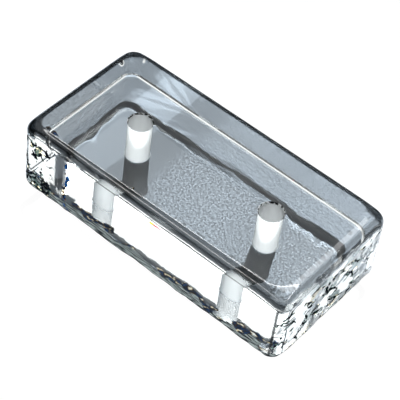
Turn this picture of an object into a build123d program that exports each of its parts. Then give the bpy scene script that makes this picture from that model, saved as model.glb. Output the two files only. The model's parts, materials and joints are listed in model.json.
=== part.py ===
"""Solid cast glass brick with two drilled rod holes, for dry-stacked or bonded glass walls."""

from build123d import *
import os

# Brick format, in millimetres
LENGTH = 200.0
WIDTH = 100.0
HEIGHT = 50.0

# Edges softened by the mould and by fire polishing
CORNER_RADIUS = 9.0
TOP_EDGE_RADIUS = 8.0
BED_EDGE_RADIUS = 5.0

# Rod holes, drilled right through from the top face to the bed face
HOLE_DIAMETER = 15.0
HOLE_SPACING = 100.0
MOUTH_CHAMFER = 0.6

# Extra reach of each cutting tool beyond the face that it cuts
CUT_OVERRUN = 1.0


def cast_body():
    """The brick before drilling: a box standing on Z = 0, centred on the Z axis, with every edge rounded."""
    body = Box(LENGTH, WIDTH, HEIGHT, align=(Align.CENTER, Align.CENTER, Align.MIN))
    body = fillet(body.edges().filter_by(Axis.Z), CORNER_RADIUS)
    body = fillet(body.edges().group_by(Axis.Z)[-1], TOP_EDGE_RADIUS)
    return fillet(body.edges().group_by(Axis.Z)[0], BED_EDGE_RADIUS)


def rod_hole():
    """The air that one drilled hole leaves on the Z axis: a round shaft with a ground chamfer at each mouth."""
    radius = HOLE_DIAMETER / 2
    flare = radius + MOUTH_CHAMFER + CUT_OVERRUN
    shaft_end = HEIGHT - MOUTH_CHAMFER
    half_section = Polyline(
        (0, -CUT_OVERRUN),
        (flare, -CUT_OVERRUN),
        (radius, MOUTH_CHAMFER),
        (radius, shaft_end),
        (flare, HEIGHT + CUT_OVERRUN),
        (0, HEIGHT + CUT_OVERRUN),
        close=True,
    )
    return revolve(Plane.XZ * make_face(half_section), Axis.Z)


def glass_block():
    """The whole brick, one piece of glass with its row of two holes along the length."""
    block = cast_body()
    for side in (-1, 1):
        block -= Pos(side * HOLE_SPACING / 2, 0, 0) * rod_hole()
    return block


os.makedirs("parts", exist_ok=True)
export_step(glass_block(), "parts/glass_block.step")
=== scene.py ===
"""Solid cast glass brick with two drilled rod holes, on a pale studio floor."""

import json
import math

import bpy
from mathutils import Matrix, Vector


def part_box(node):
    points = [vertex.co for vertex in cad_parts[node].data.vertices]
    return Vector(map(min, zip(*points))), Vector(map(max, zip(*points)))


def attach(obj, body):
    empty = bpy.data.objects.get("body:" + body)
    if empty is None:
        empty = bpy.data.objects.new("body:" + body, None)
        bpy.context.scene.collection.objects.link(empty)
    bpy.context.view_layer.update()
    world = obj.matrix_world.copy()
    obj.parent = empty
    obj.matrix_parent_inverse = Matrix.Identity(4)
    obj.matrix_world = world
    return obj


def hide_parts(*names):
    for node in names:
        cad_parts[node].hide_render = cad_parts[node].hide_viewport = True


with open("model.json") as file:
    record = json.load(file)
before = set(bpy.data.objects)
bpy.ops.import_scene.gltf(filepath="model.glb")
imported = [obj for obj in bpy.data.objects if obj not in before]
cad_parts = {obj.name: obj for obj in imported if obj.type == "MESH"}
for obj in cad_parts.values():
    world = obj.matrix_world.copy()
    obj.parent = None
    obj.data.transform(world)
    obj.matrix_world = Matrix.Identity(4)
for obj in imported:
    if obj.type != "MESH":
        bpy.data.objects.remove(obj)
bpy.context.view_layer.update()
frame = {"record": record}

MM = 0.001

# Sizes of the brick and its rod holes, read from the frame and its record
block_low, block_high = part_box("glass_block")
LENGTH, WIDTH, HEIGHT = block_high - block_low
bores = [mount for mount in frame["record"]["mounts"] if mount["kind"] == "bore"]
HOLE_RADIUS = bores[0]["dims"]["r_mm"] * MM
HOLE_SPACING = abs(bores[0]["pos_m"][0] - bores[1]["pos_m"][0])
MOUTH_CHAMFER = (HEIGHT - bores[0]["dims"]["length_mm"] * MM) / 2

# The brick's sides in its own frame, for marks that lie at a distance from one
LEFT, RIGHT = -LENGTH / 2, LENGTH / 2
FRONT, BACK = -WIDTH / 2, WIDTH / 2

# Edge radii of the solid, and the share of two of them that the shoulder and the chips leave
CORNER_RADIUS = 9 * MM
TOP_EDGE_RADIUS = 8 * MM
BED_EDGE_RADIUS = 5 * MM
TOP_EDGE_SHARE = 0.8
BED_EDGE_SHARE = 0.4

# The shoulder's fall, in multiples of its width, and how much narrower it is at the front's left end
SHOULDER_LIMIT = 1.5
SHOULDER_BLEND = 1.8
SHOULDER_CURVE = 12.0
FRONT_NARROWING = 0.4

# Waves sink in where their noise is over the first level, and dimples where it is under the second
HOLLOW_START = 0.35
DIMPLE_START = 0.7

# The drill's faces, its overrun in chamfers, and the angle past which an edge looks sharp
DRILL_SIDES = 128
DRILL_RINGS = 24
DRILL_OVERRUN = 3.0
SHARP_EDGE = math.radians(35)

# Soda-lime glass and its colours: clear as water, a smoky painted shade where an edge bends dark room towards
# the eye, and a black line of painted shade
GLASS_IOR = 1.52
WATER_CLEAR = "#F7FBFA"
PAINTED_SMOKY_SHADE = "#05080A"
PAINTED_SHADE_LINE = "#0B1012"

# How clear the rounded edges are, from 0 smoky painted shade to 1 clear, and where the bed's outline of
# painted shade lies. It goes by slope: 0 upright, 1 level.
FRONT_EDGE = ((0.0, 1.0), (0.12, 1.0), (0.17, 0.05), (0.24, 0.05), (0.3, 0.95), (0.62, 0.75), (0.7, 0.0),
              (0.988, 0.0), (0.993, 1.0))
RIGHT_EDGE = ((0.0, 1.0), (0.12, 1.0), (0.17, 0.2), (0.24, 0.2), (0.3, 0.9), (0.66, 0.9), (0.74, 0.4),
              (0.9, 0.4), (0.94, 1.0))
FAR_EDGE = ((0.0, 0.01), (0.9945, 0.01), (0.9985, 1.0))
FAR_FRINGE = ((0.0, 1.0), (0.74, 1.0), (0.77, 0.01))
BED_EDGE = ((0.0, 1.0), (0.18, 1.0), (0.22, 0.03), (0.3, 0.03), (0.34, 0.8), (0.55, 0.6), (0.6, 0.03),
            (0.75, 0.03), (0.8, 0.5), (0.98, 0.5))
BED_OUTLINE_SHADE = ((0.0, 0.0), (0.15, 0.0), (0.25, 0.85), (0.75, 0.85), (0.85, 0.0))

# The same painted shade round the upright corners, by how far the skin faces front or back
UPRIGHT_CORNER = ((0.0, 1.0), (0.22, 1.0), (0.26, 0.02), (0.34, 0.02), (0.38, 1.0), (0.86, 1.0),
                  (0.89, 0.02), (0.94, 0.02), (0.96, 1.0))

# What lamps keep on their way in, by slope, through the far edges and through the flat top. Through the far
# edges it is a painted shadow band on the bed, with a painted bright line beside it
FAR_PAINTED_SHADOW_AND_LINE = ((0.0, 0.02), (1.22, 0.02), (1.235, 1.0), (1.255, 1.0), (1.27, 0.52))
TOP_SHARE = 0.52
TOP_PASSED = ((0.0, 0.0), (0.97, 0.0), (0.985, TOP_SHARE))
BACK_SHARE = 0.64
LEFT_SHARE = 0.6

# Colours of broken glass, by noise: mostly black, painted shade for its depths, with blue, brown, gold and
# white painted glints
CHIP_SHADE_AND_GLINTS = ((0.39, "#05070B"), (0.42, "#164A85"), (0.46, "#05070B"), (0.54, "#05070B"),
             (0.57, "#6B4527"), (0.6, "#8FA39D"), (0.63, "#F3D9A0"), (0.66, "#F0F4F5"))
CRACKLE_SHADE_AND_GLINTS = ((0.36, "#3D4E4A"), (0.42, "#05070B"), (0.56, "#05070B"), (0.6, "#26342F"),
              (0.64, "#5B6C68"), (0.67, "#F3D9A0"), (0.69, "#F0F4F5"))
# Painted glints in the right end's facets, grey-green and pale gold, and a splinter's painted glint, yellow
# to red
END_FACET_GLINTS = ((0.0, WATER_CLEAR), (0.4, "#8FA39D"), (0.5, "#FFE6BA"), (0.58, WATER_CLEAR))
SPLINTER_GLINT_COLOURS = ((0.0, "#FFD93A"), (0.22, "#F0901E"), (0.4, "#B3202E"), (1.0, "#6E2A4A"))

# The bed along the brick, from the left end: how strong its grain is, and how much lamp light it passes, in
# zones of painted light and shade
BED_GRAIN = ((0.0, 0.7), (19 * MM, 0.7), (20.5 * MM, 0.12), (66 * MM, 0.12), (76 * MM, 1.0))
BED_PAINTED_LIGHT_AND_SHADE = ((0.0, 0.5), (19 * MM, 0.5), (20 * MM, 0.92), (45.8 * MM, 0.92), (46.4 * MM, 0.55),
              (66 * MM, 0.58), (76 * MM, 0.76))

# A chain of chips on the bed, by distance from its front edge, painted in shade and glints, and the pale
# wisps of painted light beside the left hole
CHIP_CHAIN = ((0.0, 0.0), (9 * MM, 0.0), (9.3 * MM, 1.0), (17 * MM, 1.0), (17.3 * MM, 0.0))
WISP_TURN = math.radians(21)
WISP_STRENGTH = 0.5

# Sizes of the glass's patterns, as the photo shows them. Grain and grit are drawn coarser, so that they show.
GRAIN_SIZE = 1.05 * MM
GRAIN_DEPTH = 0.025 * MM
GRIT_SIZE = 0.6 * MM
GRIT_DEPTH = 0.05 * MM
MOUTH_NICK = 1.6 * MM
CHIP_FACET = 4 * MM
CRACK_CELL = 5 * MM
CRACK_GAP = 9 * MM
END_FACET = 6 * MM
PAINTED_LIGHT_PATCH_SIZE = 13 * MM
SCALLOP_SIZE = 11 * MM
STREAK_SIZE = 8 * MM
WISP_SIZE = 5 * MM

# How strong the painted patches of white light are, and how much dull skin the mould left on the bed
PAINTED_LIGHT_PATCH_SHARE = 0.55
DULL_SHARE = 0.1

# Floor: its size and how far it is under the bed, its paper, and how much of the lamps its white adds
FLOOR_SIZE = 6.0
FLOOR_GAP = 0.4 * MM
PAPER = "#B9C4D0"
LIT_SHARE = 0.1

# The footprint that the floor's white leaves out, and how that white grows with the distance from it. Near
# the brick it is dimmed, a painted shade under which the lamps' real shadow shows
FOOT_INSET = 1.3 * MM
FOOT_BLUR = 0.4 * MM
FOOT_GLOW = 0.955
GLOW_START, GLOW_END = 5 * MM, 28 * MM

# Studio: where the backdrop and a small high window are, as azimuth and elevation, and how bright
BACKDROP = (-35.0, 25.0)
BACKDROP_LIGHT = 1.45
MIRRORED_SHARE = 0.35
STRIP_LIGHT = 22.0
WINDOW = (-8.0, 57.0)
WINDOW_LIGHT = 8.0
WINDOW_EDGE = math.cos(math.radians(13))
WINDOW_PANE = math.cos(math.radians(10))
ROOM_LIGHT = 0.04

# Brightness by the cosine of the angle to the backdrop's middle, plus 1, and then by height
BACKDROP_FADE = ((0.0, 0.02), (0.9, 0.04), (1.3, 1.0), (2.0, 1.0))
MIRRORED_HEIGHTS = ((0.0, 0.03), (0.56, 0.04), (0.66, 1.0), (0.89, 1.0), (0.93, 0.15))
BENT_HEIGHTS = ((0.0, 0.03), (0.25, 0.05), (0.36, 1.0), (1.0, 1.0))
STRIP_HEIGHTS = ((0.0, 0.0), (0.826, 0.0), (0.834, 1.0), (0.86, 1.0), (0.87, 0.0))

# The key light is two spot lamps, one over each half of the brick: azimuth, elevation and what they light
LEFT_KEY = (-35.2, 61.7, (-0.12, 0.0, 0.0))
RIGHT_KEY = (-27.0, 66.0, (0.12, 0.0, 0.0))
SPOT_DISTANCE = 2.5
SPOT_RADIUS = 0.012
SPOT_REACH = 0.171
SPOT_POWER = 430.0

# The fill is a low, wide soft box in front: azimuth, elevation, and how far off, wide and tall it is
FILL_TURN = (146.0, 1.5)
FILL_DISTANCE = 1.4
FILL_WIDE = 0.5
FILL_TALL = 0.05
FILL_POWER = 58.0
FILL_CENTRE = (0.0, 0.0, 0.02)

# Camera: azimuth, elevation and roll in degrees, where it looks, how far off it is, and its small shift
CAMERA_TURN = (33.9, 47.77, 8.36)
CAMERA_TARGET = Vector((2.08 * MM, -1.96 * MM, HEIGHT / 2))
CAMERA_DISTANCE = 966 * MM
CAMERA_LEFT = 0.65 * MM
CAMERA_DOWN = 0.95 * MM
CAMERA_LENS = 146.75


def linear(hex_colour):
    """An sRGB hex colour as linear RGBA."""
    parts = [int(hex_colour[i:i + 2], 16) / 255 for i in (1, 3, 5)]
    return tuple(c / 12.92 if c <= 0.04045 else ((c + 0.055) / 1.055) ** 2.4 for c in parts) + (1.0,)


def add(tree, kind, feeds=(), steps=(), **settings):
    """Adds a node with its settings. feeds gives its inputs, in order or by name, a value or a link. steps
    gives a colour ramp its stops, each a place and a grey or hex colour."""
    node = tree.nodes.new(kind)
    for name, value in settings.items():
        setattr(node, name, value)
    for i, (at, colour) in enumerate(steps):
        ramp = node.color_ramp.elements
        stop = ramp[i] if i < 2 else ramp.new(at)
        stop.position = at
        stop.color = linear(colour) if isinstance(colour, str) else (colour, colour, colour, 1.0)
    for key, value in feeds.items() if isinstance(feeds, dict) else enumerate(feeds):
        if isinstance(value, bpy.types.Node):
            value = value.outputs[0]
        if isinstance(value, bpy.types.NodeSocket):
            tree.links.new(value, node.inputs[key])
        else:
            node.inputs[key].default_value = value
    return node


def follow(tree, value, steps, reach=1.0):
    """A grey level that follows value from step to step. The steps lie between zero and reach."""
    share = add(tree, "ShaderNodeMath", (value, reach), operation="DIVIDE")
    return add(tree, "ShaderNodeValToRGB", (share,), [(at / reach, grey) for at, grey in steps])


def within(tree, *limits):
    """1 where every limit is met, 0 where one isn't, and soft in between. Each limit is a value, the level
    at which it isn't met yet and the level at which it is."""
    whole = None
    for value, start, end in limits:
        met = add(tree, "ShaderNodeMapRange", (value, start, end), interpolation_type="SMOOTHSTEP")
        whole = add(tree, "ShaderNodeMath", (whole, met), operation="MULTIPLY") if whole else met
    return whole


def blank(tree, given, halves):
    """A box of small cells on the floor, with round upright corners and round top and bed edges."""
    counts = []
    for size in ("Length", "Width", "Height"):
        cells = add(tree, "ShaderNodeMath", (given[size], given["Cell"]), operation="DIVIDE")
        cells = add(tree, "ShaderNodeMath", (cells,), operation="ROUND")
        counts.append(add(tree, "ShaderNodeMath", (cells, 1.0), operation="ADD"))
    size = add(tree, "ShaderNodeCombineXYZ", (given["Length"], given["Width"], given["Height"]))
    box = add(tree, "GeometryNodeMeshCube", {
        "Size": size, "Vertices X": counts[0], "Vertices Y": counts[1], "Vertices Z": counts[2]})
    place = add(tree, "ShaderNodeSeparateXYZ", (add(tree, "GeometryNodeInputPosition"),)).outputs

    # In plan: core is the nearest spot of the box without its corner squares, and out leads from there
    plan = add(tree, "ShaderNodeCombineXYZ", (place[0], place[1], 0.0))
    corner = add(tree, "ShaderNodeCombineXYZ", (given["Corner Radius"], given["Corner Radius"], 0.0))
    reach = add(tree, "ShaderNodeCombineXYZ", (halves[0], halves[1], 0.0))
    reach = add(tree, "ShaderNodeVectorMath", (reach, corner), operation="SUBTRACT")
    other_way = add(tree, "ShaderNodeVectorMath", (reach, (-1, -1, 0)), operation="MULTIPLY")
    core = add(tree, "ShaderNodeVectorMath", (plan, other_way), operation="MAXIMUM")
    core = add(tree, "ShaderNodeVectorMath", (core, reach), operation="MINIMUM")
    out = add(tree, "ShaderNodeVectorMath", (plan, core), operation="SUBTRACT")
    off = add(tree, "ShaderNodeVectorMath", (out,), operation="ABSOLUTE")
    off = add(tree, "ShaderNodeSeparateXYZ", (off,)).outputs
    ring = add(tree, "ShaderNodeMath", (off[0], off[1]), operation="MAXIMUM")

    # In section: over and rise are how far a spot lies past the start of the edge's rounding
    is_top = add(tree, "ShaderNodeMath", (place[2], 0.0), operation="GREATER_THAN")
    is_low = add(tree, "ShaderNodeMath", (1.0, is_top), operation="SUBTRACT")
    top_edge = add(tree, "ShaderNodeMath", (is_top, given["Top Edge Radius"]), operation="MULTIPLY")
    bed_edge = add(tree, "ShaderNodeMath", (is_low, given["Bed Edge Radius"]), operation="MULTIPLY")
    edge = add(tree, "ShaderNodeMath", (top_edge, bed_edge), operation="ADD")
    flat = add(tree, "ShaderNodeMath", (given["Corner Radius"], edge), operation="SUBTRACT")
    over = add(tree, "ShaderNodeMath", (ring, flat), operation="SUBTRACT")
    over = add(tree, "ShaderNodeMath", (over, 0.0), operation="MAXIMUM")
    high = add(tree, "ShaderNodeMath", (place[2],), operation="ABSOLUTE")
    upright = add(tree, "ShaderNodeMath", (halves[2], edge), operation="SUBTRACT")
    rise = add(tree, "ShaderNodeMath", (high, upright), operation="SUBTRACT")
    rise = add(tree, "ShaderNodeMath", (rise, 0.0), operation="MAXIMUM")
    arc = add(tree, "ShaderNodeCombineXYZ", (over, rise, 0.0))
    arc = add(tree, "ShaderNodeVectorMath", (arc,), operation="NORMALIZE")
    arc = add(tree, "ShaderNodeVectorMath", {0: arc, "Scale": edge}, operation="SCALE")
    arc = add(tree, "ShaderNodeSeparateXYZ", (arc,)).outputs
    ring = add(tree, "ShaderNodeMath", (ring, over), operation="SUBTRACT")
    ring = add(tree, "ShaderNodeMath", (ring, arc[0]), operation="ADD")
    high = add(tree, "ShaderNodeMath", (high, rise), operation="SUBTRACT")
    high = add(tree, "ShaderNodeMath", (high, arc[1]), operation="ADD")

    out = add(tree, "ShaderNodeVectorMath", (out,), operation="NORMALIZE")
    out = add(tree, "ShaderNodeVectorMath", {0: out, "Scale": ring}, operation="SCALE")
    side = add(tree, "ShaderNodeMath", (place[2],), operation="SIGN")
    level = add(tree, "ShaderNodeMath", (high, side), operation="MULTIPLY")
    level = add(tree, "ShaderNodeMath", (level, halves[2]), operation="ADD")
    level = add(tree, "ShaderNodeCombineXYZ", (0.0, 0.0, level))
    spot = add(tree, "ShaderNodeVectorMath", (core, out), operation="ADD")
    spot = add(tree, "ShaderNodeVectorMath", (spot, level), operation="ADD")
    return add(tree, "GeometryNodeSetPosition", {"Geometry": box, "Position": spot})


def shouldered(tree, given, halves, brick):
    """The brick with a sloping shoulder: outside a flat with round corners, the top falls away to its edges.
    The front's shoulder grows narrower to the left."""
    place = add(tree, "ShaderNodeSeparateXYZ", (add(tree, "GeometryNodeInputPosition"),)).outputs
    is_front = add(tree, "ShaderNodeMath", (place[1], 0.0), operation="LESS_THAN")
    lean = add(tree, "ShaderNodeMath", (halves[0], place[0]), operation="SUBTRACT")
    lean = add(tree, "ShaderNodeMath", (lean, given["Length"]), operation="DIVIDE")
    lean = add(tree, "ShaderNodeMath", (lean, is_front), operation="MULTIPLY")
    narrowing = add(tree, "ShaderNodeMath", (given["Shoulder"], FRONT_NARROWING), operation="MULTIPLY")
    narrowing = add(tree, "ShaderNodeMath", (lean, narrowing), operation="MULTIPLY")
    inset = add(tree, "ShaderNodeMath", (given["Shoulder"], given["Shoulder Corner"]), operation="ADD")
    flat_x = add(tree, "ShaderNodeMath", (halves[0], inset), operation="SUBTRACT")
    flat_y = add(tree, "ShaderNodeMath", (halves[1], inset), operation="SUBTRACT")
    flat_y = add(tree, "ShaderNodeMath", (flat_y, narrowing), operation="ADD")
    flat = add(tree, "ShaderNodeCombineXYZ", (flat_x, flat_y, 0.0))

    beyond = add(tree, "ShaderNodeCombineXYZ", (place[0], place[1], 0.0))
    beyond = add(tree, "ShaderNodeVectorMath", (beyond,), operation="ABSOLUTE")
    beyond = add(tree, "ShaderNodeVectorMath", (beyond, flat), operation="SUBTRACT")
    beyond = add(tree, "ShaderNodeVectorMath", (beyond, (0, 0, 0)), operation="MAXIMUM")
    beyond = add(tree, "ShaderNodeVectorMath", (beyond,), operation="LENGTH").outputs["Value"]
    beyond = add(tree, "ShaderNodeMath", (beyond, given["Shoulder Corner"]), operation="SUBTRACT")
    beyond = add(tree, "ShaderNodeMath", (beyond, 0.0), operation="MAXIMUM")
    limit = add(tree, "ShaderNodeMath", (given["Shoulder"], SHOULDER_LIMIT), operation="MULTIPLY")
    beyond = add(tree, "ShaderNodeMath", (beyond, limit), operation="MINIMUM")

    fall = add(tree, "ShaderNodeMath", (beyond, given["Shoulder Slope"]), operation="MULTIPLY")
    curve = add(tree, "ShaderNodeMath", (beyond, beyond), operation="MULTIPLY")
    curve_radius = add(tree, "ShaderNodeMath", (given["Shoulder"], SHOULDER_CURVE), operation="MULTIPLY")
    curve = add(tree, "ShaderNodeMath", (curve, curve_radius), operation="DIVIDE")
    fall = add(tree, "ShaderNodeMath", (fall, curve), operation="ADD")
    blend = add(tree, "ShaderNodeMath", (given["Shoulder"], SHOULDER_BLEND), operation="MULTIPLY")
    blend = add(tree, "ShaderNodeMath", (given["Height"], blend), operation="SUBTRACT")
    near_top = add(tree, "ShaderNodeMapRange", (place[2], blend, given["Height"]))
    fall = add(tree, "ShaderNodeMath", (fall, near_top), operation="MULTIPLY")
    fall = add(tree, "ShaderNodeMath", (fall, -1.0), operation="MULTIPLY")
    fall = add(tree, "ShaderNodeCombineXYZ", (0.0, 0.0, fall))
    return add(tree, "GeometryNodeSetPosition", {"Geometry": brick, "Offset": fall})


def uneven(tree, given, halves, brick):
    """The brick as the mould and handling leave it. Every unevenness goes inwards: dimples and ripples in the
    ends, slow waves in sides and top, and a chipped rim along the bed's front and right end."""
    spot = add(tree, "GeometryNodeInputPosition")
    here = add(tree, "ShaderNodeSeparateXYZ", (spot,)).outputs
    normal = add(tree, "GeometryNodeInputNormal")
    facing = add(tree, "ShaderNodeVectorMath", (normal,), operation="ABSOLUTE")
    facing = add(tree, "ShaderNodeSeparateXYZ", (facing,)).outputs

    def hollows(name, salt, where, detail=1.0):
        seed = add(tree, "ShaderNodeMath", (given["Seed"], salt), operation="ADD")
        scale = add(tree, "ShaderNodeMath", (1.0, given[name + " Width"]), operation="DIVIDE")
        depth = add(tree, "ShaderNodeTexNoise", {"Vector": spot, "W": seed, "Scale": scale, "Detail": detail},
                    noise_dimensions="4D")
        depth = add(tree, "ShaderNodeMath", (depth, HOLLOW_START), operation="SUBTRACT")
        depth = add(tree, "ShaderNodeMath", (depth, 0.0), operation="MAXIMUM")
        depth = add(tree, "ShaderNodeMath", (depth, given[name]), operation="MULTIPLY")
        return add(tree, "ShaderNodeMath", (depth, where), operation="MULTIPLY")

    past_left = add(tree, "ShaderNodeMath", (halves[0], -1.3), operation="MULTIPLY")
    ends = within(tree, (facing[0], 0.5, 1.0), (here[0], past_left, halves[0]))
    sides = within(tree, (facing[1], 0.3, 1.0))
    is_top = add(tree, "ShaderNodeMath", (here[2], halves[2]), operation="GREATER_THAN")
    tops = add(tree, "ShaderNodeMath", (within(tree, (facing[2], 0.3, 1.0)), is_top), operation="MULTIPLY")
    rim_top = add(tree, "ShaderNodeMath", (given["Bed Edge Radius"], 2.0), operation="MULTIPLY")
    front = add(tree, "ShaderNodeMath", (halves[1], -1.0), operation="MULTIPLY")
    near_right = add(tree, "ShaderNodeMath", (halves[0], 0.8), operation="MULTIPLY")
    in_front = within(tree, (here[1], 0.0, front))
    at_right = within(tree, (here[0], near_right, halves[0]))
    chip_side = add(tree, "ShaderNodeMath", (in_front, at_right), operation="MAXIMUM")
    rim = within(tree, (here[2], rim_top, 0.0), (facing[2], 1.0, 0.9))
    rim = add(tree, "ShaderNodeMath", (rim, chip_side), operation="MULTIPLY")

    seed = add(tree, "ShaderNodeMath", (given["Seed"], 5.0), operation="ADD")
    scale = add(tree, "ShaderNodeMath", (1.0, given["Dimple Width"]), operation="DIVIDE")
    dimple = add(tree, "ShaderNodeTexVoronoi", {"Vector": spot, "W": seed, "Scale": scale},
                 voronoi_dimensions="4D").outputs["Distance"]
    dimple = add(tree, "ShaderNodeMath", (dimple, dimple), operation="MULTIPLY")
    dimple = add(tree, "ShaderNodeMath", (DIMPLE_START, dimple), operation="SUBTRACT")
    dimple = add(tree, "ShaderNodeMath", (dimple, given["Dimple"]), operation="MULTIPLY")
    dimple = add(tree, "ShaderNodeMath", (dimple, 0.0), operation="MAXIMUM")
    sink = add(tree, "ShaderNodeMath", (dimple, ends), operation="MULTIPLY")
    for depth in (hollows("End Ripple", 1.0, ends, 2.0), hollows("Side Wave", 2.0, sides),
                  hollows("Top Wave", 3.0, tops), hollows("Rim Chip", 4.0, rim, 2.0)):
        sink = add(tree, "ShaderNodeMath", (sink, depth), operation="ADD")
    inward = add(tree, "ShaderNodeVectorMath", (normal, (-1, -1, -1)), operation="MULTIPLY")
    inward = add(tree, "ShaderNodeVectorMath", {0: inward, "Scale": sink}, operation="SCALE")
    return add(tree, "GeometryNodeSetPosition", {"Geometry": brick, "Offset": inward})


def finished(tree, given, brick):
    """The brick with polished skin, and grained glass on its bed."""
    normal = add(tree, "ShaderNodeSeparateXYZ", (add(tree, "GeometryNodeInputNormal"),)).outputs
    is_bed = add(tree, "ShaderNodeMath", (normal[2], -0.9), operation="LESS_THAN")
    brick = add(tree, "GeometryNodeSetMaterial", {"Geometry": brick, "Material": given["Polished"]})
    return add(tree, "GeometryNodeSetMaterial", {
        "Geometry": brick, "Selection": is_bed, "Material": given["Grained"]})


def drilled(tree, given, halves, brick):
    """The brick with its rod holes: a shaft with a ground chamfer at each mouth, repeated on the long
    centreline."""
    overrun = add(tree, "ShaderNodeMath", (given["Mouth Chamfer"], DRILL_OVERRUN), operation="MULTIPLY")
    cone_depth = add(tree, "ShaderNodeMath", (given["Mouth Chamfer"], overrun), operation="ADD")
    flare = add(tree, "ShaderNodeMath", (given["Hole Radius"], cone_depth), operation="ADD")
    both_overruns = add(tree, "ShaderNodeMath", (overrun, 2.0), operation="MULTIPLY")
    shaft_length = add(tree, "ShaderNodeMath", (given["Height"], both_overruns), operation="ADD")
    below = add(tree, "ShaderNodeMath", (overrun, -1.0), operation="MULTIPLY")
    top_start = add(tree, "ShaderNodeMath", (given["Height"], given["Mouth Chamfer"]), operation="SUBTRACT")

    shaft = add(tree, "GeometryNodeMeshCylinder", {
        "Vertices": DRILL_SIDES, "Side Segments": DRILL_RINGS, "Radius": given["Hole Radius"],
        "Depth": shaft_length})
    bottom = add(tree, "GeometryNodeMeshCone", {
        "Vertices": DRILL_SIDES, "Side Segments": 1, "Radius Bottom": flare,
        "Radius Top": given["Hole Radius"], "Depth": cone_depth})
    top = add(tree, "GeometryNodeMeshCone", {
        "Vertices": DRILL_SIDES, "Side Segments": 1, "Radius Bottom": given["Hole Radius"],
        "Radius Top": flare, "Depth": cone_depth})
    drill = add(tree, "GeometryNodeMeshBoolean", operation="UNION", solver="EXACT")
    for piece, level in ((shaft, halves[2]), (bottom, below), (top, top_start)):
        level = add(tree, "ShaderNodeCombineXYZ", (0.0, 0.0, level))
        piece = add(tree, "GeometryNodeTransform", {"Geometry": piece, "Translation": level})
        tree.links.new(piece.outputs[0], drill.inputs[1])
    drill = add(tree, "GeometryNodeSetMaterial", {"Geometry": drill, "Material": given["Ground"]})

    start = add(tree, "ShaderNodeMath", (given["Hole Spacing"], -0.5), operation="MULTIPLY")
    row = add(tree, "GeometryNodeMeshLine", {
        "Count": 2, "Start Location": add(tree, "ShaderNodeCombineXYZ", (start, 0.0, 0.0)),
        "Offset": add(tree, "ShaderNodeCombineXYZ", (given["Hole Spacing"], 0.0, 0.0))})
    drills = add(tree, "GeometryNodeInstanceOnPoints", {"Points": row, "Instance": drill})
    drills = add(tree, "GeometryNodeRealizeInstances", (drills,))
    return add(tree, "GeometryNodeMeshBoolean", {"Mesh 1": brick, "Mesh 2": drills}, operation="DIFFERENCE",
               solver="MANIFOLD")


def brick_tree():
    """Geometry Nodes for the brick: a fine box rounded by rule, made uneven as cast glass is, and drilled."""
    tree = bpy.data.node_groups.new("cast_glass_brick", "GeometryNodeTree")
    faces = tree.interface
    faces.new_socket("Geometry", in_out="OUTPUT", socket_type="NodeSocketGeometry")
    for name in ("Length", "Width", "Height", "Corner Radius", "Top Edge Radius", "Bed Edge Radius",
                 "Shoulder", "Shoulder Corner", "Shoulder Slope", "Hole Radius", "Hole Spacing",
                 "Mouth Chamfer", "Cell", "Dimple", "Dimple Width", "End Ripple", "End Ripple Width",
                 "Side Wave", "Side Wave Width", "Top Wave", "Top Wave Width", "Rim Chip", "Rim Chip Width",
                 "Seed"):
        faces.new_socket(name, in_out="INPUT", socket_type="NodeSocketFloat")
    for name in ("Polished", "Grained", "Ground"):
        faces.new_socket(name, in_out="INPUT", socket_type="NodeSocketMaterial")
    given = add(tree, "NodeGroupInput").outputs
    half = add(tree, "ShaderNodeCombineXYZ", (given["Length"], given["Width"], given["Height"]))
    half = add(tree, "ShaderNodeVectorMath", {0: half, "Scale": 0.5}, operation="SCALE")
    halves = add(tree, "ShaderNodeSeparateXYZ", (half,)).outputs

    brick = blank(tree, given, halves)
    brick = shouldered(tree, given, halves, brick)
    brick = uneven(tree, given, halves, brick)
    brick = finished(tree, given, brick)
    brick = drilled(tree, given, halves, brick)
    brick = add(tree, "GeometryNodeSetShadeSmooth", {"Geometry": brick, "Shade Smooth": True}, domain="FACE")
    turn = add(tree, "GeometryNodeInputMeshEdgeAngle")
    is_sharp = add(tree, "ShaderNodeMath", (turn, SHARP_EDGE), operation="GREATER_THAN")
    brick = add(tree, "GeometryNodeSetShadeSmooth", {
        "Geometry": brick, "Selection": is_sharp, "Shade Smooth": False}, domain="EDGE")
    add(tree, "NodeGroupOutput", (add(tree, "GeometryNodeRealizeInstances", (brick,)),))
    return tree


def new_material(name):
    material = bpy.data.materials.new(name)
    material.use_nodes = True
    material.node_tree.nodes.clear()
    return material, material.node_tree


def lamp_clear(tree, glass, passed):
    """Lets lamps through a glass shader: what a lamp's ray keeps on its way is the colour passed."""
    clear = add(tree, "ShaderNodeBsdfTransparent", {"Color": passed})
    by_lamp = add(tree, "ShaderNodeLightPath").outputs["Is Shadow Ray"]
    mixed = add(tree, "ShaderNodeMixShader", (by_lamp, glass, clear))
    add(tree, "ShaderNodeOutputMaterial", {"Surface": mixed})


def matt_over(tree, glass, share, colour):
    """Glass with a matt colour over it where share is 1."""
    matt = add(tree, "ShaderNodeBsdfPrincipled", {
        "Base Color": colour, "Roughness": 0.9, "Specular IOR Level": 0.0})
    return add(tree, "ShaderNodeMixShader", (share, glass, matt))


def chipped(tree, where, glass, share, glints):
    """Glass whose skin is broken where share is 1: rough facets there, painted black as the shade in their
    depths, with a few painted glints."""
    facet = add(tree, "ShaderNodeTexNoise", {"Vector": where, "Scale": 1 / CHIP_FACET, "Detail": 3.0})
    facet = add(tree, "ShaderNodeValToRGB", (facet,), glints)
    return matt_over(tree, glass, share, facet)


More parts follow.
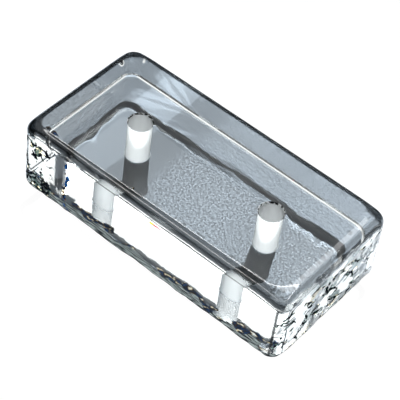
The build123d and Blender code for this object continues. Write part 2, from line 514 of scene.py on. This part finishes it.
def painted_crackle_shade(tree, where, place):
    """1 in short broken lines of painted crackle shade over the right end and round the left front corner,
    elsewhere 0. The lines are bolder to the left, and more of them are left whole at the foot of that corner."""
    bent = add(tree, "ShaderNodeTexNoise", {"Vector": where, "Scale": 1 / (4 * MM), "Detail": 2.0}).outputs[1]
    bent = add(tree, "ShaderNodeVectorMath", (bent, (3 * MM, 3 * MM, 3 * MM), where),
               operation="MULTIPLY_ADD")
    bent = add(tree, "ShaderNodeMapping", {"Vector": bent, "Scale": (1.0, 0.5, 1.0)})
    line = add(tree, "ShaderNodeTexVoronoi", {"Vector": bent, "Scale": 1 / CRACK_CELL},
               feature="DISTANCE_TO_EDGE")
    bold = within(tree, (place[0], 0.0, LEFT / 2))
    line = add(tree, "ShaderNodeMath", (bold, -0.03, line), operation="MULTIPLY_ADD")

    left = within(tree, (place[0], LEFT + 29 * MM, LEFT + 24 * MM))
    foot = within(tree, (place[2], 11 * MM, 7 * MM))
    foot = add(tree, "ShaderNodeMath", (left, foot), operation="MULTIPLY")
    gaps = add(tree, "ShaderNodeTexNoise", {"Vector": where, "Scale": 1 / CRACK_GAP, "Detail": 3.0})
    gaps = add(tree, "ShaderNodeMath", (left, 0.03, gaps), operation="MULTIPLY_ADD")
    gaps = add(tree, "ShaderNodeMath", (foot, 0.1, gaps), operation="MULTIPLY_ADD")
    near_front = within(tree, (place[1], FRONT + 14 * MM, FRONT + 10 * MM))
    left = add(tree, "ShaderNodeMath", (left, near_front), operation="MULTIPLY")
    right = within(tree, (place[0], RIGHT - 6 * MM, RIGHT - 4 * MM))
    ends = add(tree, "ShaderNodeMath", (right, left), operation="MAXIMUM")
    line = within(tree, (line, 0.12, 0.08), (gaps, 0.5, 0.53),
                  (place[2], HEIGHT - 8 * MM, HEIGHT - 10 * MM))
    return add(tree, "ShaderNodeMath", (line, ends), operation="MULTIPLY")


def crack_line(tree, place, nicks, where):
    """1 along one winding, broken crack that runs up the front beside the left hole, elsewhere 0. Its black
    and glints are painted shade and painted glints.
    """
    winding = add(tree, "ShaderNodeTexNoise", {"Vector": where, "Scale": 1 / (9 * MM), "Detail": 3.0})
    off = add(tree, "ShaderNodeMath", (winding, 12 * MM, place[0]), operation="MULTIPLY_ADD")
    off = add(tree, "ShaderNodeMath", (off, LEFT + 43 * MM), operation="SUBTRACT")
    off = add(tree, "ShaderNodeMath", (off,), operation="ABSOLUTE")
    return within(tree, (off, 1.5 * MM, 1.1 * MM), (place[1], FRONT + 3 * MM, FRONT + 2 * MM),
                  (place[2], HEIGHT - 7 * MM, HEIGHT - 9 * MM), (nicks, 0.4, 0.43))


def painted_splinter_glint(tree, glass, place):
    """A splinter under the front's top edge, with a painted glint of yellow and red for the light it splits.
    """
    along = add(tree, "ShaderNodeMapRange", (place[0], 2 * MM, 11 * MM))
    off = add(tree, "ShaderNodeMath", (place[2], HEIGHT - 7.4 * MM), operation="SUBTRACT")
    off = add(tree, "ShaderNodeMath", (off,), operation="ABSOLUTE")
    off = add(tree, "ShaderNodeMath", (along, 0.7 * MM, off), operation="MULTIPLY_ADD")
    share = within(tree, (off, 1.0 * MM, 0.8 * MM), (place[0], 1.5 * MM, 2.2 * MM),
                   (place[0], 11 * MM, 10 * MM), (place[1], FRONT + 3 * MM, FRONT + 2 * MM))
    colour = add(tree, "ShaderNodeValToRGB", (along,), SPLINTER_GLINT_COLOURS)
    return matt_over(tree, glass, share, colour)


def painted_edge_shade(tree, where, place, slope, wave, far_side):
    """How clear the skin is, from 0 smoky painted shade to 1 clear: smoky in lines along the near edges and
    the bed's edges, deeper to the left, and black along the far ones, with a ragged fringe."""
    depth = add(tree, "ShaderNodeMapRange", (place[0], LEFT + 20 * MM, RIGHT - 40 * MM, 0.01, 0.14))
    near = add(tree, "ShaderNodeMath", (follow(tree, slope, FRONT_EDGE), depth), operation="MAXIMUM")
    on_right = within(tree, (place[0], RIGHT - 14 * MM, RIGHT - CORNER_RADIUS))
    near = add(tree, "ShaderNodeMix", {0: on_right, 2: near, 3: follow(tree, slope, RIGHT_EDGE)})
    waved = add(tree, "ShaderNodeMath", (wave, 0.008, slope), operation="MULTIPLY_ADD")
    fringe = add(tree, "ShaderNodeTexNoise", {"Vector": where, "Scale": 1 / (7 * MM), "Detail": 2.0})
    fringe = add(tree, "ShaderNodeMath", (fringe, 0.35, slope), operation="MULTIPLY_ADD")
    far = add(tree, "ShaderNodeMath", (
        follow(tree, waved, FAR_EDGE, 1.01), follow(tree, fringe, FAR_FRINGE, 2.0)), operation="MAXIMUM")
    top = add(tree, "ShaderNodeMix", {0: far_side, 2: near, 3: far})

    # Painted shade: the left corners' top edges are wholly dark
    corner = add(tree, "ShaderNodeMath", (place[1],), operation="ABSOLUTE")
    corner = add(tree, "ShaderNodeMath", (corner, place[0]), operation="SUBTRACT")
    corner = within(tree, (corner, BACK - LEFT - 13 * MM, BACK - LEFT - 11 * MM),
                    (place[2], HEIGHT - 9 * MM, HEIGHT - 7 * MM))
    corner = add(tree, "ShaderNodeMath", (1.0, corner), operation="SUBTRACT")
    top = add(tree, "ShaderNodeMath", (top, corner), operation="MULTIPLY")
    low = add(tree, "ShaderNodeMath", (follow(tree, slope, BED_EDGE), far_side), operation="MAXIMUM")
    return add(tree, "ShaderNodeMix", {0: within(tree, (place[2], 20 * MM, 21 * MM)), 2: low, 3: top})


def skin_passed(tree, place, slope, wave, nicks, left, far_side):
    """What lamps keep on their way through the polished skin: a little over half in most places, and next to
    nothing through the far edges but for a bright line. That band is a painted shadow on the bed, and its
    line painted light."""
    band = add(tree, "ShaderNodeMath", (wave, 0.8, slope), operation="MULTIPLY_ADD")
    band = follow(tree, band, FAR_PAINTED_SHADOW_AND_LINE, 2.0)
    upright = add(tree, "ShaderNodeMath", (nicks, 3 * MM, place[2]), operation="MULTIPLY_ADD")
    upright = add(tree, "ShaderNodeMath", (wave, 12 * MM, upright), operation="MULTIPLY_ADD")
    upright = within(tree, (upright, HEIGHT + 1.0 * MM, HEIGHT + 0.2 * MM))
    wall = add(tree, "ShaderNodeMix", {0: left, 2: BACK_SHARE, 3: LEFT_SHARE})
    upright = add(tree, "ShaderNodeMath", (upright, wall), operation="MULTIPLY")
    passed = add(tree, "ShaderNodeMath", (band, upright), operation="MAXIMUM")
    passed = add(tree, "ShaderNodeMath", (passed, follow(tree, slope, TOP_PASSED)), operation="MAXIMUM")
    return add(tree, "ShaderNodeMix", {0: far_side, 2: TOP_SHARE, 3: passed})


def polished_glass():
    """Low-iron soda-lime glass, fire-polished: clear as water. Its rounded edges bend the dark side of the
    room towards the eye; that smoky look, black along the far sides, is painted shade in its tint. Over its
    right end and left front corner, a crackle of black lines with a few coloured glints is painted shade and
    painted glints."""
    material, tree = new_material("fire_polished_glass")
    where = add(tree, "ShaderNodeTexCoord").outputs
    normal = add(tree, "ShaderNodeVectorMath", (where["Normal"],), operation="ABSOLUTE")
    normal = add(tree, "ShaderNodeSeparateXYZ", (normal,)).outputs
    slope = normal[2]
    where = where["Object"]
    place = add(tree, "ShaderNodeSeparateXYZ", (where,)).outputs
    wave = add(tree, "ShaderNodeTexNoise", {"Vector": where, "Scale": 1 / (30 * MM), "Detail": 4.0})
    nicks = add(tree, "ShaderNodeTexNoise", {"Vector": where, "Scale": 1 / (5 * MM), "Detail": 2.0})
    back = within(tree, (place[1], BACK - 12 * MM, BACK - CORNER_RADIUS))
    left = within(tree, (place[0], LEFT + 12 * MM, LEFT + CORNER_RADIUS))
    far_side = add(tree, "ShaderNodeMath", (back, left), operation="MAXIMUM")
    on_right = within(tree, (place[0], RIGHT - 7 * MM, RIGHT - 4 * MM),
                      (place[2], HEIGHT - 8 * MM, HEIGHT - 10 * MM))

    # Clear glass with smoky painted shade in its edges, and painted glints of colour in facets over its right
    # end
    clear = painted_edge_shade(tree, where, place, slope, wave, far_side)
    # Painted shade round the upright corners too
    corner = add(tree, "ShaderNodeMath", (
        follow(tree, normal[1], UPRIGHT_CORNER), within(tree, (slope, 0.2, 0.3))), operation="MAXIMUM")
    clear = add(tree, "ShaderNodeMath", (clear, corner), operation="MULTIPLY")
    facet = add(tree, "ShaderNodeMapping", {"Vector": where, "Scale": (1.0, 0.4, 1.0)})
    facet = add(tree, "ShaderNodeTexVoronoi", {"Vector": facet, "Scale": 1 / END_FACET}).outputs["Color"]
    facet = add(tree, "ShaderNodeValToRGB", (facet,), END_FACET_GLINTS)
    facet.color_ramp.interpolation = "CONSTANT"
    colour = add(tree, "ShaderNodeMix", {0: on_right, 6: linear(WATER_CLEAR), 7: facet}, data_type="RGBA")
    colour = add(tree, "ShaderNodeMix", {0: clear, 6: linear(PAINTED_SMOKY_SHADE), 7: colour.outputs[2]}, data_type="RGBA")
    glass = add(tree, "ShaderNodeBsdfPrincipled", {
        "Base Color": colour.outputs[2], "Roughness": 0.0, "IOR": GLASS_IOR, "Transmission Weight": 1.0})

    # Painted patches of white light on the right end, a crackle of painted shade and glints, the bed's dark
    # outline in painted shade, breaks in the front painted in shade and glints, then a splinter's painted
    # glint
    painted_light_patch = add(tree, "ShaderNodeTexNoise", {"Vector": where, "Scale": 1 / PAINTED_LIGHT_PATCH_SIZE, "Detail": 3.0})
    painted_light_patch = within(tree, (painted_light_patch, 0.44, 0.54), (place[2], 3 * MM, 4 * MM))
    for share in (on_right, PAINTED_LIGHT_PATCH_SHARE, corner):
        painted_light_patch = add(tree, "ShaderNodeMath", (painted_light_patch, share), operation="MULTIPLY")
    white = add(tree, "ShaderNodeBsdfPrincipled", {
        "Base Color": linear("#F2F7F6"), "Roughness": 0.6, "IOR": GLASS_IOR})
    glass = add(tree, "ShaderNodeMixShader", (painted_light_patch, glass, white))
    glass = chipped(tree, where, glass, painted_crackle_shade(tree, where, place), CRACKLE_SHADE_AND_GLINTS)
    near_side = add(tree, "ShaderNodeMath", (1.0, far_side), operation="SUBTRACT")
    # Painted shade: a black line round the bed's near edges
    outline_shade = follow(tree, slope, BED_OUTLINE_SHADE)
    for share in (within(tree, (place[2], 5 * MM, 4 * MM)), near_side):
        outline_shade = add(tree, "ShaderNodeMath", (outline_shade, share), operation="MULTIPLY")
    glass = matt_over(tree, glass, outline_shade, linear(PAINTED_SHADE_LINE))
    glass = chipped(tree, where, glass, crack_line(tree, place, nicks, where), CHIP_SHADE_AND_GLINTS)
    glass = painted_splinter_glint(tree, glass, place)
    lamp_clear(tree, glass, skin_passed(tree, place, slope, wave, nicks, left, far_side))
    return material


def rough_rim(tree, where, place, glass):
    """The bed with its rough front rim: streaks of painted shade and painted light first, then a chain of
    chips further in, painted in shade and glints. The rim is scalloped, thinner in places and wider near the
    left end."""
    inside = add(tree, "ShaderNodeMath", (place[1], FRONT), operation="SUBTRACT")
    scallop = add(tree, "ShaderNodeMapping", {"Vector": where, "Scale": (1.0, 0.5, 1.0)})
    scallop = add(tree, "ShaderNodeTexVoronoi", {"Vector": scallop, "Scale": 1 / SCALLOP_SIZE})
    inside = add(tree, "ShaderNodeMath", (scallop, -12 * MM, inside), operation="MULTIPLY_ADD")
    thinner = add(tree, "ShaderNodeTexNoise", {"Vector": where, "Scale": 1 / (38 * MM), "Detail": 0.0})
    thinner = within(tree, (thinner, 0.46, 0.6))
    inside = add(tree, "ShaderNodeMath", (thinner, 6 * MM, inside), operation="MULTIPLY_ADD")
    wider = within(tree, (place[0], LEFT + 24 * MM, LEFT + 8 * MM))
    inside = add(tree, "ShaderNodeMath", (wider, -6 * MM, inside), operation="MULTIPLY_ADD")

    painted_streak = add(tree, "ShaderNodeMapping", {"Vector": where, "Scale": (1.0, 6.0, 1.0)})
    painted_streak = add(tree, "ShaderNodeTexNoise", {"Vector": painted_streak, "Scale": 1 / STREAK_SIZE, "Detail": 3.0})
    painted_streak = within(tree, (painted_streak, 0.45, 0.56))
    painted_streak = add(tree, "ShaderNodeMix", {0: painted_streak, 6: linear("#12171A"), 7: linear("#AEBAB9")},
                 data_type="RGBA")
    glass = matt_over(tree, glass, within(tree, (inside, 10.5 * MM, 10.0 * MM)), painted_streak.outputs[2])
    apart = add(tree, "ShaderNodeTexNoise", {"Vector": where, "Scale": 1 / (14 * MM), "Detail": 1.0})
    chain = add(tree, "ShaderNodeMath", (
        follow(tree, inside, CHIP_CHAIN, 30 * MM), within(tree, (apart, 0.45, 0.48))), operation="MULTIPLY")
    return chipped(tree, where, glass, chain, CHIP_SHADE_AND_GLINTS)


def bed_passed(tree, where, place, along, grain, grain_share):
    """What lamps keep on their way through the bed: a level of painted light and shade that changes along the
    brick, sparkling with the grain and paler towards the back, where pale wisps of painted light fan out
    beside the left hole."""
    level = follow(tree, along, BED_PAINTED_LIGHT_AND_SHADE, LENGTH)
    sparkle = add(tree, "ShaderNodeMapRange", (grain, 0.36, 0.64, -1.0, 1.0))
    calmer = add(tree, "ShaderNodeMapRange", (place[1], 24 * MM, 32 * MM, 1.0, 0.6))
    paler = add(tree, "ShaderNodeMapRange", (place[1], 20 * MM, 30 * MM, 1.0, 1.12))
    sparkle = add(tree, "ShaderNodeMath", (sparkle, calmer), operation="MULTIPLY")
    sparkle = add(tree, "ShaderNodeMath", (sparkle, grain_share, paler), operation="MULTIPLY_ADD")
    passed = add(tree, "ShaderNodeMath", (sparkle, level), operation="MULTIPLY")
    wisp = add(tree, "ShaderNodeMapping", {
        "Vector": where, "Rotation": (0.0, 0.0, WISP_TURN), "Scale": (8.0, 1.0, 1.0)}, vector_type="TEXTURE")
    wisp = add(tree, "ShaderNodeTexNoise", {"Vector": wisp, "Scale": 1 / WISP_SIZE, "Detail": 2.0})
    wisp = within(tree, (wisp, 0.48, 0.62), (place[0], LEFT + 10 * MM, LEFT + 16 * MM),
                  (place[0], LEFT + 70 * MM, LEFT + 55 * MM), (place[1], BACK - 24 * MM, BACK - 18 * MM))
    return add(tree, "ShaderNodeMath", (wisp, WISP_STRENGTH, passed), operation="MULTIPLY_ADD")


def grained_glass():
    """The same glass where it lay on the mould: a wrinkled grain that sparkles as it scatters a little light,
    with a smooth band across it round one hole and a chipped front rim. The real grain is finer than a
    millimetre and wouldn't show, so it is drawn at about a millimetre."""
    material, tree = new_material("mould_grained_glass")
    where = add(tree, "ShaderNodeTexCoord").outputs["Object"]
    place = add(tree, "ShaderNodeSeparateXYZ", (where,)).outputs
    grain = add(tree, "ShaderNodeTexNoise", {"Vector": where, "Scale": 1 / GRAIN_SIZE, "Detail": 2.0})
    along = add(tree, "ShaderNodeTexNoise", {"Vector": where, "Scale": 1 / (9 * MM), "Detail": 3.0})
    along = add(tree, "ShaderNodeMath", (along, 1.5 * MM, place[0]), operation="MULTIPLY_ADD")
    along = add(tree, "ShaderNodeMath", (along, LEFT), operation="SUBTRACT")
    grain_share = follow(tree, along, BED_GRAIN, LENGTH)
    height = add(tree, "ShaderNodeMapRange", (place[1], -24 * MM, -8 * MM, 0.15, 1.0))
    height = add(tree, "ShaderNodeMath", (height, grain_share), operation="MULTIPLY")
    bump = add(tree, "ShaderNodeBump", {"Height": grain, "Strength": height, "Distance": GRAIN_DEPTH})
    glass = add(tree, "ShaderNodeBsdfPrincipled", {
        "Base Color": linear("#F2F7F7"), "Roughness": 0.0, "IOR": GLASS_IOR, "Transmission Weight": 1.0,
        "Normal": bump})
    dull = add(tree, "ShaderNodeBsdfPrincipled", {
        "Base Color": linear("#AEB8C2"), "Roughness": 0.8, "IOR": GLASS_IOR})
    glass = add(tree, "ShaderNodeMixShader", (DULL_SHARE, glass, dull))
    glass = rough_rim(tree, where, place, glass)
    lamp_clear(tree, glass, bed_passed(tree, where, place, along, grain, grain_share))
    return material


def ground_glass():
    """Glass ground by a core drill: a white satin wall that glows with the light it catches, with small nicks
    round its upper mouth painted dark as shade. The grit of a drill is much finer than a pixel, so it is
    drawn coarser."""
    material, tree = new_material("drill_ground_glass")
    where = add(tree, "ShaderNodeTexCoord").outputs["Object"]
    level = add(tree, "ShaderNodeSeparateXYZ", (where,)).outputs[2]
    grit = add(tree, "ShaderNodeTexNoise", {"Vector": where, "Scale": 1 / GRIT_SIZE, "Detail": 2.0})
    bump = add(tree, "ShaderNodeBump", {"Height": grit, "Strength": 0.3, "Distance": GRIT_DEPTH})
    painted_nick_shade = add(tree, "ShaderNodeTexNoise", {"Vector": where, "Scale": 1 / MOUTH_NICK, "Detail": 0.0})
    painted_nick_shade = within(tree, (painted_nick_shade, 0.43, 0.46), (level, HEIGHT - 1.3 * MM, HEIGHT - 1.0 * MM))
    white = add(tree, "ShaderNodeMix", {0: painted_nick_shade, 6: linear("#F6FAFB"), 7: linear("#14181C")},
                data_type="RGBA")
    wall = add(tree, "ShaderNodeBsdfPrincipled", {
        "Base Color": white.outputs[2], "Roughness": 0.6, "IOR": GLASS_IOR, "Normal": bump})
    through = add(tree, "ShaderNodeBsdfTranslucent", {"Color": white.outputs[2], "Normal": bump})
    both = add(tree, "ShaderNodeMixShader", (0.5, wall, through))
    add(tree, "ShaderNodeOutputMaterial", {"Surface": both})
    return material


def brick():
    """The whole brick as one piece, made by its node tree and turned into a plain mesh."""
    tree = brick_tree()
    values = {
        "Length": LENGTH, "Width": WIDTH, "Height": HEIGHT, "Corner Radius": CORNER_RADIUS,
        "Top Edge Radius": TOP_EDGE_RADIUS * TOP_EDGE_SHARE,
        "Bed Edge Radius": BED_EDGE_RADIUS * BED_EDGE_SHARE,
        "Shoulder": 8.3 * MM, "Shoulder Corner": 12 * MM, "Shoulder Slope": 0.09,
        "Hole Radius": HOLE_RADIUS, "Hole Spacing": HOLE_SPACING, "Mouth Chamfer": MOUTH_CHAMFER,
        "Cell": 1.0 * MM, "Seed": 3.0,
        "Dimple": 0.7 * MM, "Dimple Width": 8 * MM, "End Ripple": 1.2 * MM, "End Ripple Width": 12 * MM,
        "Side Wave": 0.6 * MM, "Side Wave Width": 35 * MM, "Top Wave": 0.3 * MM, "Top Wave Width": 40 * MM,
        "Rim Chip": 2.5 * MM, "Rim Chip Width": 12 * MM,
        "Polished": polished_glass(), "Grained": grained_glass(), "Ground": ground_glass(),
    }
    start = bpy.data.objects.new("brick_start", bpy.data.meshes.new("brick_start"))
    bpy.context.scene.collection.objects.link(start)
    maker = start.modifiers.new("cast", "NODES")
    maker.node_group = tree
    for item in tree.interface.items_tree:
        if item.in_out == "INPUT":
            maker[item.identifier] = values[item.name]
    ready = start.evaluated_get(bpy.context.evaluated_depsgraph_get())
    mesh = bpy.data.meshes.new_from_object(ready)
    bpy.data.objects.remove(start)
    mesh.name = "cast_glass_brick"
    piece = bpy.data.objects.new("cast_glass_brick", mesh)
    bpy.context.scene.collection.objects.link(piece)
    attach(piece, "root")
    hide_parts("glass_block")
    return piece


def floor():
    """A wide pale floor just under the brick. It looks white to the camera, with a little painted shade near
    the brick under which the lamps' real shadow shows, and through the glass it looks the same outside the
    brick's footprint. All else sees it as lit paper."""
    material, tree = new_material("pale_floor")
    paper = add(tree, "ShaderNodeBsdfPrincipled", {
        "Base Color": linear(PAPER), "Roughness": 0.9, "Specular IOR Level": 0.0})
    path = add(tree, "ShaderNodeLightPath").outputs
    place = add(tree, "ShaderNodeTexCoord").outputs["Object"]
    place = add(tree, "ShaderNodeVectorMath", (place,), operation="ABSOLUTE")
    footprint = (LENGTH / 2 - FOOT_INSET, WIDTH / 2 - FOOT_INSET, 0.0)
    place = add(tree, "ShaderNodeVectorMath", (place, footprint), operation="SUBTRACT")
    place = add(tree, "ShaderNodeSeparateXYZ", (place,)).outputs
    beside = add(tree, "ShaderNodeMath", (place[0], place[1]), operation="MAXIMUM")
    glow = add(tree, "ShaderNodeMapRange", (beside, GLOW_START, GLOW_END, FOOT_GLOW, 1.0))
    white = add(tree, "ShaderNodeEmission", {"Color": (1.0, 1.0, 1.0, 1.0), "Strength": glow})
    lit = add(tree, "ShaderNodeBsdfDiffuse", {"Color": (LIT_SHARE, LIT_SHARE, LIT_SHARE, 1.0)})
    white = add(tree, "ShaderNodeAddShader", (white, lit))
    is_beside = within(tree, (beside, 0.0, FOOT_BLUR))
    bent = add(tree, "ShaderNodeMath", (path["Is Transmission Ray"], is_beside), operation="MULTIPLY")
    seen = add(tree, "ShaderNodeMath", (path["Is Camera Ray"], bent), operation="MAXIMUM")
    surface = add(tree, "ShaderNodeMixShader", (seen, paper, white))
    add(tree, "ShaderNodeOutputMaterial", {"Surface": surface})
    bpy.ops.mesh.primitive_plane_add(size=FLOOR_SIZE, location=(0.0, 0.0, -FLOOR_GAP))
    ground = bpy.context.object
    ground.name = "studio_floor"
    ground.data.materials.append(material)


def toward(azimuth, elevation):
    """A direction. Azimuth is measured from +Y towards +X, seen from above."""
    a, e = math.radians(azimuth), math.radians(elevation)
    return Vector((math.sin(a) * math.cos(e), math.cos(a) * math.cos(e), math.sin(e)))


def studio_world():
    """A white backdrop behind the brick that fades to a dark room on the viewer's side, with a bright strip
    across it and a small high window. Bent rays see it from low down, and mirrored ones only its upper part.
    The camera sees plain white, and everything else gets a dim even light. A ray bent by glass counts as
    mirrored too, so Is Transmission Ray tells the two apart."""
    world = bpy.data.worlds.new("studio")
    bpy.context.scene.world = world
    world.use_nodes = True
    tree = world.node_tree
    tree.nodes.clear()
    path = add(tree, "ShaderNodeLightPath").outputs
    way = add(tree, "ShaderNodeTexCoord").outputs["Generated"]
    up = add(tree, "ShaderNodeSeparateXYZ", (way,)).outputs[2]
    behind = add(tree, "ShaderNodeVectorMath", (way, toward(*BACKDROP)), operation="DOT_PRODUCT")
    behind = add(tree, "ShaderNodeMath", (behind.outputs["Value"], 1.0), operation="ADD")
    high = add(tree, "ShaderNodeMix", {
        0: path["Is Transmission Ray"], 2: follow(tree, up, MIRRORED_HEIGHTS),
        3: follow(tree, up, BENT_HEIGHTS)})
    strip = follow(tree, up, STRIP_HEIGHTS)
    strip = add(tree, "ShaderNodeMath", (strip, STRIP_LIGHT, 1.0), operation="MULTIPLY_ADD")
    backdrop = follow(tree, behind, BACKDROP_FADE, 2.0)
    for share in (high, strip):
        backdrop = add(tree, "ShaderNodeMath", (backdrop, share), operation="MULTIPLY")
    window = add(tree, "ShaderNodeVectorMath", (way, toward(*WINDOW)), operation="DOT_PRODUCT")
    window = within(tree, (window.outputs["Value"], WINDOW_EDGE, WINDOW_PANE))
    backdrop = add(tree, "ShaderNodeMath", (window, WINDOW_LIGHT, backdrop), operation="MULTIPLY_ADD")
    bent = add(tree, "ShaderNodeMath", (path["Is Glossy Ray"], MIRRORED_SHARE, path["Is Transmission Ray"]),
               operation="MULTIPLY_ADD")
    room = add(tree, "ShaderNodeBackground", {"Color": linear("#F4F8FF"), "Strength": ROOM_LIGHT})
    drop = add(tree, "ShaderNodeBackground", {"Color": backdrop, "Strength": BACKDROP_LIGHT})
    white = add(tree, "ShaderNodeBackground", {"Color": (1.0, 1.0, 1.0, 1.0), "Strength": 1.0})
    seen = add(tree, "ShaderNodeMixShader", (bent, room, drop))
    seen = add(tree, "ShaderNodeMixShader", (path["Is Camera Ray"], seen, white))
    add(tree, "ShaderNodeOutputWorld", {"Surface": seen})


def aim(thing, spot):
    """Turns a lamp so that it looks at spot."""
    thing.rotation_euler = (Vector(spot) - thing.location).to_track_quat("-Z", "Y").to_euler()


def hang(name, light, place, spot):
    """Hangs a lamp, hidden from mirrored and bent rays, at a place and aims it at a spot."""
    thing = bpy.data.objects.new(name, light)
    bpy.context.scene.collection.objects.link(thing)
    thing.location = place
    aim(thing, spot)
    thing.visible_glossy = False
    thing.visible_transmission = False


def soft_box(name):
    """The fill: an oblong soft box that lights the whole front."""
    light = bpy.data.lights.new(name, "AREA")
    light.shape = "RECTANGLE"
    light.size = FILL_WIDE
    light.size_y = FILL_TALL
    light.energy = FILL_POWER
    hang(name, light, toward(*FILL_TURN) * FILL_DISTANCE, FILL_CENTRE)


def spot_lamp(name, azimuth, elevation, centre):
    """A small spot lamp that lights a round about centre and fades out towards its rim."""
    light = bpy.data.lights.new(name, "SPOT")
    light.shadow_soft_size = SPOT_RADIUS
    light.energy = SPOT_POWER
    light.spot_blend = 1.0
    light.spot_size = 2 * math.atan(SPOT_REACH / SPOT_DISTANCE)
    hang(name, light, Vector(centre) + toward(azimuth, elevation) * SPOT_DISTANCE, centre)


def camera():
    """The photograph's viewpoint: a long lens looking down at one corner, tilted a little."""
    azimuth, elevation, roll = (math.radians(angle) for angle in CAMERA_TURN)
    away = toward(180.0 - math.degrees(azimuth), math.degrees(elevation))
    right = Vector((math.cos(azimuth), math.sin(azimuth), 0.0))
    up = away.cross(right)
    across = right * math.cos(roll) + up * math.sin(roll)
    upward = up * math.cos(roll) - right * math.sin(roll)
    data = bpy.data.cameras.new("photo_view")
    data.lens = CAMERA_LENS
    view = bpy.data.objects.new("photo_view", data)
    bpy.context.scene.collection.objects.link(view)
    placed = Matrix((across, upward, away)).transposed().to_4x4()
    target = CAMERA_TARGET - across * CAMERA_LEFT - upward * CAMERA_DOWN
    placed.translation = target + away * CAMERA_DISTANCE
    view.matrix_world = placed
    bpy.context.scene.camera = view


camera()
brick()
floor()
studio_world()
spot_lamp("key_left_half", *LEFT_KEY)
spot_lamp("key_right_half", *RIGHT_KEY)
soft_box("front_fill")

scene = bpy.context.scene
scene.view_settings.view_transform = "Standard"
scene.cycles.caustics_refractive = False
scene.cycles.caustics_reflective = False
